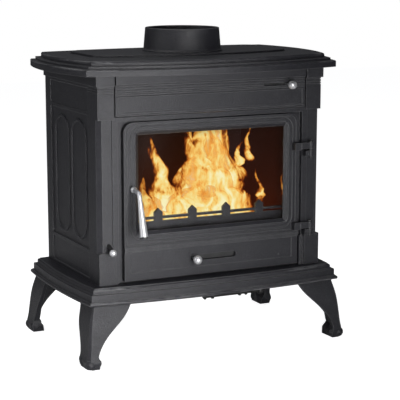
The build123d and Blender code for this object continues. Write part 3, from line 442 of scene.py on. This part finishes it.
@dataclass(frozen=True)
class Firebrick:
    """Sooty firebrick that glows a little near the grate."""

    name: str = "firebrick"
    black: Colour = rgb(0.003, 0.002, 0.0018)
    brown: Colour = rgb(0.009, 0.006, 0.005)
    dim_glow: Colour = rgb(0.013, 0.0016, 0.0012)
    full_glow: Colour = rgb(0.036, 0.0026, 0.0014)
    glow_strength: float = 0.8
    glow_heights: Span = (0.26, 0.46)
    glow_base: float = 0.35
    roughness: float = 0.9
    soot: Noise = Noise(9.0, 4.0, 0.6)
    soot_span: Span = (0.3, 0.7)
    pits: Noise = Noise(55.0, 5.0)
    relief: float = 0.0015

    def build(self) -> bpy.types.Material:
        """Make pitted brick under soot, dark red low down.

        Returns:
            The material.
        """
        s = Shader.for_material(self.name)
        _, _, z = s.axes()
        soot = s.noise(self.soot)
        colour = s.mix(soot.step(self.soot_span), self.black, self.brown)
        low = 1.0 - z.step(self.glow_heights)
        glow = s.mix((low * (self.glow_base + soot)).clamp(), self.dim_glow, self.full_glow)
        return s.finish({"Base Color": colour, "Roughness": self.roughness, "Emission Color": glow,
                         "Emission Strength": self.glow_strength,
                         "Normal": s.bump(s.noise(self.pits), self.relief)})


@dataclass(frozen=True)
class Rope:
    """Knitted glass fibre."""

    name: str = "glass_rope"
    dark: Colour = grey(0.09)
    light: Colour = rgb(0.26, 0.26, 0.25)
    roughness: float = 0.95
    knit_scale: float = 260.0
    knit_distortion: float = 2.0
    relief: float = 0.0006

    def build(self) -> bpy.types.Material:
        """Make a close knit in grey.

        Returns:
            The material.
        """
        s = Shader.for_material(self.name)
        inputs = {"Vector": s.place(), "Scale": self.knit_scale, "Distortion": self.knit_distortion}
        knit = s.add("ShaderNodeTexWave", {"bands_direction": "DIAGONAL"}, inputs, "Fac")
        return s.finish({"Base Color": s.mix(knit, self.dark, self.light), "Roughness": self.roughness,
                         "Normal": s.bump(knit, self.relief)})


@dataclass(frozen=True)
class BlackCap:
    """The moulded end of the door handle."""

    name: str = "black_cap"
    dark: Colour = grey(0.010)
    light: Colour = grey(0.022)
    roughness: float = 0.35
    grain: Noise = Noise(1200.0)
    relief: float = 0.00005

    def build(self) -> bpy.types.Material:
        """Make a near black with a soft gloss.

        Returns:
            The material.
        """
        s = Shader.for_material(self.name)
        grain = s.noise(self.grain)
        return s.finish({"Base Color": s.mix(grain, self.dark, self.light), "Roughness": self.roughness,
                         "Normal": s.bump(grain, self.relief)})


@dataclass(frozen=True)
class Flame:
    """Burning gas, pale at its heart and orange at its edge."""

    name: str = "flame"
    strength: float = 1.02
    stretch: Point = (1.0, 1.0, 0.45)
    curls: Noise = Noise(30.0, 4.0, 0.55, 1.4)
    wisps: Noise = Noise(85.0, 3.0, 0.6, 0.8)
    heat_share: float = 0.92
    curl_share: float = 1.45
    wisp_share: float = 0.60
    cover: Span = (0.06, 0.62)
    colours: Stops = (
        (0.08, rgb(0.16, 0.012, 0.002)),
        (0.26, rgb(0.55, 0.10, 0.010)),
        (0.42, rgb(0.90, 0.34, 0.045)),
        (0.56, rgb(0.95, 0.58, 0.14)),
        (0.72, rgb(0.96, 0.76, 0.28)),
        (0.92, rgb(0.97, 0.90, 0.52)),
    )

    def build(self) -> bpy.types.Material:
        """Make a glow whose colour and cover follow the sheet's own heat, broken up by rising streaks.

        The heat is the first number of the sheet's UV map.

        Returns:
            The material.
        """
        s = Shader.for_material(self.name)
        heat = s.add("ShaderNodeSeparateXYZ", None, {0: s.add("ShaderNodeTexCoord", output="UV")})
        stretched = s.add("ShaderNodeMapping", None, {"Vector": s.place(), "Scale": self.stretch})
        curls = (s.noise(self.curls, stretched) - 0.5) * self.curl_share
        wisps = (s.noise(self.wisps, stretched) - 0.5) * self.wisp_share
        level = heat * self.heat_share + curls + wisps
        return s.finish({"Base Color": rgb(0.0, 0.0, 0.0), "Roughness": 1.0, "Specular IOR Level": 0.0,
                         "Emission Color": s.ramp(level.clamp(), self.colours),
                         "Emission Strength": self.strength, "Alpha": level.step(self.cover)})


@dataclass(frozen=True)
class Embers:
    """Charcoal with glowing cracks."""

    name: str = "embers"
    charcoal: Colour = rgb(0.01, 0.008, 0.008)
    roughness: float = 0.9
    lumps_per_metre: float = 42.0
    crack_span: Span = (0.02, 0.22)
    relief: float = 0.003
    colours: Stops = (
        (0.0, rgb(0.02, 0.002, 0.001)),
        (0.5, rgb(0.7, 0.10, 0.01)),
        (1.0, rgb(1.0, 0.55, 0.12)),
    )

    def build(self) -> bpy.types.Material:
        """Make black lumps, bright between them.

        Returns:
            The material.
        """
        s = Shader.for_material(self.name)
        lumps = s.add("ShaderNodeTexVoronoi", {"feature": "DISTANCE_TO_EDGE"},
                      {"Vector": s.place(), "Scale": self.lumps_per_metre})
        cracks = 1.0 - lumps.step(self.crack_span)
        return s.finish({"Base Color": self.charcoal, "Roughness": self.roughness,
                         "Emission Color": s.ramp(cracks, self.colours), "Emission Strength": 1.0,
                         "Normal": s.bump(lumps, self.relief)})


def sheet_grid(rows: int, columns: int, bottom: float) -> tuple[np.ndarray, np.ndarray]:
    """The two parameters of a sheet, as whole arrays.

    Args:
        rows: points up the sheet.
        columns: points across it.
        bottom: where the second parameter starts.

    Returns:
        u, from -1 to 1 across, and v, from bottom to 1 upwards.
    """
    u, v = np.meshgrid(np.linspace(-1.0, 1.0, columns), np.linspace(bottom, 1.0, rows))
    return u, v


def grid_faces(rows: int, columns: int) -> np.ndarray:
    """Quads of a grid of rows by columns vertices, numbered row by row.

    Args:
        rows: vertices along the first direction.
        columns: vertices along the second.

    Returns:
        One row of four vertex numbers per quad.
    """
    corner = np.arange(rows - 1)[:, None] * columns + np.arange(columns - 1)[None, :]
    return np.stack([corner, corner + 1, corner + columns + 1, corner + columns], -1).reshape(-1, 4)


def make_mesh(name: str, points: np.ndarray, faces: np.ndarray,
              shading: Shading = Shading.SMOOTH) -> bpy.types.Object:
    """Turn whole arrays of points and faces into an object at the origin.

    Args:
        name: the object's name.
        points: one row of x, y, z per vertex.
        faces: one row of vertex numbers per face.
        shading: flat or smooth faces.

    Returns:
        The new object.
    """
    mesh = bpy.data.meshes.new(name)
    mesh.from_pydata(points.tolist(), [], faces.tolist())
    mesh.polygons.foreach_set("use_smooth", np.full(len(mesh.polygons), shading.value))
    mesh.update()
    piece = bpy.data.objects.new(name, mesh)
    bpy.context.collection.objects.link(piece)
    return piece


def make_sheet(name: str, x: np.ndarray, y: np.ndarray, z: np.ndarray) -> bpy.types.Object:
    """Turn grids of x, y and z into an open sheet.

    Args:
        name: the object's name.
        x: the points' x, by row and column.
        y: their y.
        z: their z.

    Returns:
        The new object.
    """
    return make_mesh(name, np.stack([x, y, z], -1).reshape(-1, 3), grid_faces(*x.shape))


def dress(piece: bpy.types.Object, material: bpy.types.Material) -> None:
    """Give a new piece its one material."""
    piece.data.materials.append(material)


@dataclass
class Castings:
    """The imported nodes, each dressed by the slot that the record gives it."""

    frame: dict
    finishes: dict[str, Any] = field(default_factory=lambda: {
        "cast": CastIron(),
        "sheet": Steel("black_sheet", rgb(0.03, 0.03, 0.031), 0.5, 0.0),
        "steel": Steel("plain_steel", rgb(0.055, 0.055, 0.057), 0.42, 0.6),
        "black_steel": Steel("blackened_steel", grey(0.025), 0.42, 0.3),
        "bright": Chrome(),
        "grip_end": BlackCap(),
        "firebrick": Firebrick(),
        "glass": CeramicGlass(),
        "rope": Rope(),
    })

    def build(self) -> None:
        """Make each finish once and assign it to its nodes."""
        made = {slot: finish.build() for slot, finish in self.finishes.items()}
        for entry in self.frame["record"]["subparts"]:
            slot = entry["material_slot"]
            for item in self.frame["nodes"][entry["node"]].material_slots:
                item.material = made[slot]
            LOG.info("dressed %s as %s", entry["node"], slot)


@dataclass
class EmberBed:
    """The low mound of embers on the grate."""

    finish: Embers = Embers()
    body: str = "stove"
    half_width: float = 0.195
    front_gap: float = 0.02
    back_gap: float = 0.05
    base_height: float = 0.2575
    rise: float = 0.020
    fullness: float = 0.6
    lump_height: float = 0.004
    lump_rates: tuple[float, float] = (260.0, 230.0)
    lump_shift: float = 1.0
    crumb_height: float = 0.003
    crumb_rates: tuple[float, float] = (510.0, 330.0)
    rows: int = 60
    columns: int = 90

    def unevenness(self, x: np.ndarray, y: np.ndarray) -> np.ndarray:
        """How far the embers stand out: a product of two sines for lumps and a slanting sine for crumbs.

        Args:
            x: the points' x.
            y: their y.

        Returns:
            The height in metres at each point.
        """
        lumps = np.sin(x * self.lump_rates[0]) * np.sin(y * self.lump_rates[1] + self.lump_shift)
        crumbs = np.sin(x * self.crumb_rates[0] + y * self.crumb_rates[1])
        return self.lump_height * lumps + self.crumb_height * crumbs

    def build(self) -> None:
        """Build the bed over the grate's depth.

        It is a sheet over u and v from -1 to 1. Its height is a product of two cosines, each to a power that
        keeps the middle full, times the rise and the unevenness.
        """
        low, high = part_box("grate_frame")
        front = low[1] + self.front_gap
        back = high[1] - self.back_gap
        u, v = sheet_grid(self.rows, self.columns, -1.0)
        x = u * self.half_width
        y = (front + back) / 2 + v * (back - front) / 2
        mound = np.cos(u * np.pi / 2) ** self.fullness * np.cos(v * np.pi / 2) ** self.fullness
        z = self.base_height + mound * (self.rise + self.unevenness(x, y))
        piece = make_sheet("ember_bed", x, y, z)
        dress(piece, self.finish.build())
        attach(piece, self.body)
        LOG.info("built %s", piece.name)


@dataclass(frozen=True)
class Ripple:
    """A sine wave: its size and its rate in radians."""

    size: float
    rate: float

    def along(self, place: np.ndarray, phase: Any) -> np.ndarray:
        """The wave at each place, from the sine of rate times place plus phase."""
        return self.size * np.sin(self.rate * place + phase)


@dataclass(frozen=True)
class Tongue:
    """One flame: where it stands, how tall and wide it is, how it leans and sways, and how hot it burns."""

    x: float
    y: float
    height: float
    width: float
    lean: float
    sway: float
    phase: float
    bottom: float = 0.262
    heat: float = 1.0


@dataclass
class Flames:
    """The flames that show through the window."""

    finish: Flame = Flame()
    body: str = "stove"
    rows: int = 60
    columns: int = 19
    root_share: float = 0.55
    swell_rate: float = 1.6
    swell_start: float = 0.15
    tip_power: float = 0.62
    lean_power: float = 1.4
    sway_rate: float = 5.5
    belly: float = 0.35
    roll: Ripple = Ripple(0.010, 7.0)
    coarse_fray: Ripple = Ripple(0.22, 17.0)
    coarse_phase: float = 3.0
    coarse_slant: float = 1.4
    fine_fray: Ripple = Ripple(0.12, 31.0)
    cooling: float = 0.55
    core_heat: float = 0.98
    loose_above: float = 0.3
    loose_fade: float = 5.0
    tongues: tuple[Tongue, ...] = (
        Tongue(-0.072, -0.060, 0.215, 0.125, -0.034, 0.008, 0.4),
        Tongue(-0.050, -0.068, 0.140, 0.110, 0.004, 0.008, 2.1),
        Tongue(-0.112, -0.052, 0.120, 0.090, -0.012, 0.008, 1.2),
        Tongue(-0.155, -0.060, 0.075, 0.090, 0.004, 0.006, 3.3),
        Tongue(-0.115, -0.075, 0.085, 0.170, 0.006, 0.006, 5.9),
        Tongue(-0.006, -0.056, 0.265, 0.110, -0.004, 0.010, 0.9),
        Tongue(0.022, -0.062, 0.350, 0.165, -0.010, 0.010, 2.7),
        Tongue(0.056, -0.058, 0.360, 0.165, -0.014, 0.010, 4.4),
        Tongue(0.040, -0.074, 0.255, 0.200, -0.006, 0.008, 5.2),
        Tongue(0.088, -0.052, 0.235, 0.110, -0.012, 0.010, 1.9),
        Tongue(0.112, -0.058, 0.130, 0.090, -0.020, 0.010, 0.2),
        Tongue(0.020, -0.082, 0.105, 0.260, 0.000, 0.006, 4.9),
        Tongue(0.104, -0.056, 0.062, 0.044, 0.012, 0.006, 2.4, 0.388, 0.9),
        Tongue(0.131, -0.060, 0.092, 0.028, 0.000, 0.006, 3.9, 0.402, 0.85),
        Tongue(0.166, -0.060, 0.078, 0.030, -0.010, 0.006, 1.1, 0.305, 0.70),
        Tongue(0.195, -0.108, 0.058, 0.018, 0.002, 0.003, 2.9, 0.325, 0.8),
    )

    def half_width(self, flame: Tongue, u: np.ndarray, v: np.ndarray) -> np.ndarray:
        """Half a flame's width: it swells by a sine, closes as (1 - v) to a power, and two sines fray it.

        Args:
            flame: its sizes.
            u: the sheet's first parameter.
            v: its second.

        Returns:
            The half width in metres at each point.
        """
        rising = np.sin(np.pi * np.minimum(v * self.swell_rate + self.swell_start, 1.0))
        swell = (self.root_share + (1.0 - self.root_share) * rising) * (1.0 - v) ** self.tip_power
        coarse = self.coarse_fray.along(v, flame.phase * self.coarse_phase + u * self.coarse_slant)
        fine = self.fine_fray.along(v, flame.phase)
        return 0.5 * flame.width * swell * (1.0 + coarse + fine)

    def heat(self, flame: Tongue, u: np.ndarray, v: np.ndarray) -> np.ndarray:
        """Heat from 0 to 1: it falls off to both sides as a half circle and evenly towards the tip.

        Args:
            flame: its sizes.
            u: the sheet's first parameter.
            v: its second.

        Returns:
            The heat at each point. A loose flame, whose foot hangs above the embers, also fades in upwards.
        """
        heat = flame.heat * self.core_heat * (1.0 - u ** 2) ** 0.5 * (1.0 - self.cooling * v)
        is_loose = flame.bottom > self.loose_above
        return heat * np.minimum(1.0, v * self.loose_fade) if is_loose else heat

    def tongue(self, name: str, flame: Tongue) -> bpy.types.Object:
        """Build one flame.

        It is a sheet over u from -1 to 1 across and v from 0 to 1 upwards. A power of v leans its middle, a
        sine of v makes it sway, and it bellies towards the front as 1 - u squared. Its heat is kept in a
        UV map.

        Args:
            name: its name.
            flame: its sizes.

        Returns:
            The new object.
        """
        u, v = sheet_grid(self.rows, self.columns, 0.0)
        half = self.half_width(flame, u, v)
        sway = Ripple(flame.sway, self.sway_rate).along(v, flame.phase) * v
        x = flame.x + flame.lean * v ** self.lean_power + sway + u * half
        y = flame.y - self.belly * half * (1.0 - u ** 2) + self.roll.along(v, flame.phase)
        piece = make_sheet(name, x, y, flame.bottom + flame.height * v)
        heat = self.heat(flame, u, v).reshape(-1)[grid_faces(self.rows, self.columns).reshape(-1)]
        layer = piece.data.uv_layers.new(name="heat")
        layer.data.foreach_set("uv", np.stack([heat, np.zeros_like(heat)], -1).reshape(-1))
        return piece

    def build(self) -> None:
        """Make every flame and give all of them one material."""
        material = self.finish.build()
        for index, flame in enumerate(self.tongues):
            piece = self.tongue(f"flame_{index:02d}", flame)
            dress(piece, material)
            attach(piece, self.body)
            LOG.info("built %s", piece.name)


@dataclass(frozen=True)
class Lamp:
    """A soft box: where it hangs, what it points at, its width and height, and how its light opens."""

    name: str
    place: Point
    aim: Point
    size: tuple[float, float]
    watts: float
    spread_degrees: float = 180.0

    def hang(self) -> None:
        """Make the lamp, point it and hide it from the camera."""
        data = bpy.data.lights.new(self.name, "AREA")
        data.shape = "RECTANGLE"
        data.size, data.size_y = self.size
        data.energy = self.watts
        data.spread = np.radians(self.spread_degrees)
        lamp = bpy.data.objects.new(self.name, data)
        bpy.context.collection.objects.link(lamp)
        lamp.location = self.place
        lamp.rotation_euler = (Vector(self.aim) - Vector(self.place)).to_track_quat("-Z", "Y").to_euler()
        lamp.visible_camera = False
        LOG.info("hung the %s lamp", self.name)


@dataclass
class Studio:
    """The floor, the backdrop, the lamps and the camera."""

    camera_place: Point = (-1.3796, -2.8985, 0.8889)
    right: Point = (0.89774, -0.44052, 0.00055)
    up: Point = (0.08317, 0.17071, 0.98180)
    forward: Point = (0.43260, 0.88136, -0.18989)
    focal_pixels: float = 1425.04
    centre_pixel: tuple[float, float] = (201.29, 219.82)
    sensor: float = 36.0
    nearest: float = 0.05
    floor_half: float = 6.0
    floor_shades: tuple[Colour, Colour] = (grey(0.80), grey(0.84))
    floor_speckle: Noise = Noise(200.0)
    floor_roughness: float = 0.8
    floor_specular: float = 0.2
    floor_lift: float = 0.92
    sky: Colour = rgb(0.92, 0.94, 1.0)
    sky_strength: float = 0.085
    lamps: tuple[Lamp, ...] = (
        Lamp("key", (-0.26, -1.45, 0.34), (-0.46, 0.0, 0.27), (0.6, 0.9), 7.6, 95.0),
        Lamp("top", (-0.3, 0.3, 2.6), (0.0, 0.0, 0.4), (2.4, 1.6), 20.0),
        Lamp("left", (-2.6, -0.2, 1.3), (0.0, 0.0, 0.4), (1.0, 1.4), 12.0),
    )

    def camera(self) -> None:
        """Stand the camera where the photograph was taken from."""
        data = bpy.data.cameras.new("camera")
        data.sensor_width = self.sensor
        data.lens = self.focal_pixels / PHOTO_PIXELS * self.sensor
        data.shift_x = (PHOTO_PIXELS / 2 - self.centre_pixel[0]) / PHOTO_PIXELS
        data.shift_y = (self.centre_pixel[1] - PHOTO_PIXELS / 2) / PHOTO_PIXELS
        data.clip_start = self.nearest
        camera = bpy.data.objects.new("camera", data)
        bpy.context.collection.objects.link(camera)
        turn = Matrix((self.right, self.up, tuple(-part for part in self.forward))).transposed()
        camera.matrix_world = Matrix.Translation(self.camera_place) @ turn.to_4x4()
        bpy.context.scene.camera = camera
        LOG.info("placed the camera")

    def floor(self) -> None:
        """Lay a pale floor that shows white to the eye but keeps the stove's shadow."""
        half = self.floor_half
        points = np.array([[-half, -half, 0.0], [half, -half, 0.0], [half, half, 0.0], [-half, half, 0.0]])
        floor = make_mesh("floor", points, np.array([[0, 1, 2, 3]]), Shading.FLAT)
        s = Shader.for_material("pale_floor")
        seen = s.add("ShaderNodeLightPath", output="Is Camera Ray")
        dress(floor, s.finish({"Base Color": s.mix(s.noise(self.floor_speckle), *self.floor_shades),
                               "Roughness": self.floor_roughness, "Specular IOR Level": self.floor_specular,
                               "Emission Color": s.mix(seen, grey(0.0), grey(self.floor_lift)),
                               "Emission Strength": 1.0}))
        LOG.info("laid the floor")

    def backdrop(self) -> None:
        """Surround the stove with a pale grey light that the camera sees as white."""
        s = Shader(bpy.data.worlds.new("studio"), "ShaderNodeOutputWorld")
        seen = s.add("ShaderNodeLightPath", output="Is Camera Ray")
        light = s.add("ShaderNodeBackground", None, {"Color": self.sky, "Strength": self.sky_strength})
        white = s.add("ShaderNodeBackground", None, {"Color": grey(1.0), "Strength": 1.0})
        bpy.context.scene.world = s.close(s.add("ShaderNodeMixShader", None, {0: seen, 1: light, 2: white}))
        LOG.info("lit the backdrop")

    def build(self) -> None:
        """Set up everything that isn't the stove."""
        self.floor()
        self.backdrop()
        for lamp in self.lamps:
            lamp.hang()
        self.camera()
        bpy.context.scene.view_settings.view_transform = "Standard"


def main() -> None:
    """Load the frame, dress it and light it."""
    logging.basicConfig(level=logging.INFO, format="%(name)s: %(message)s")
    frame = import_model()
    for assembly in (Castings(frame), EmberBed(), Flames(), Studio()):
        assembly.build()


if __name__ == "__main__":
    main()
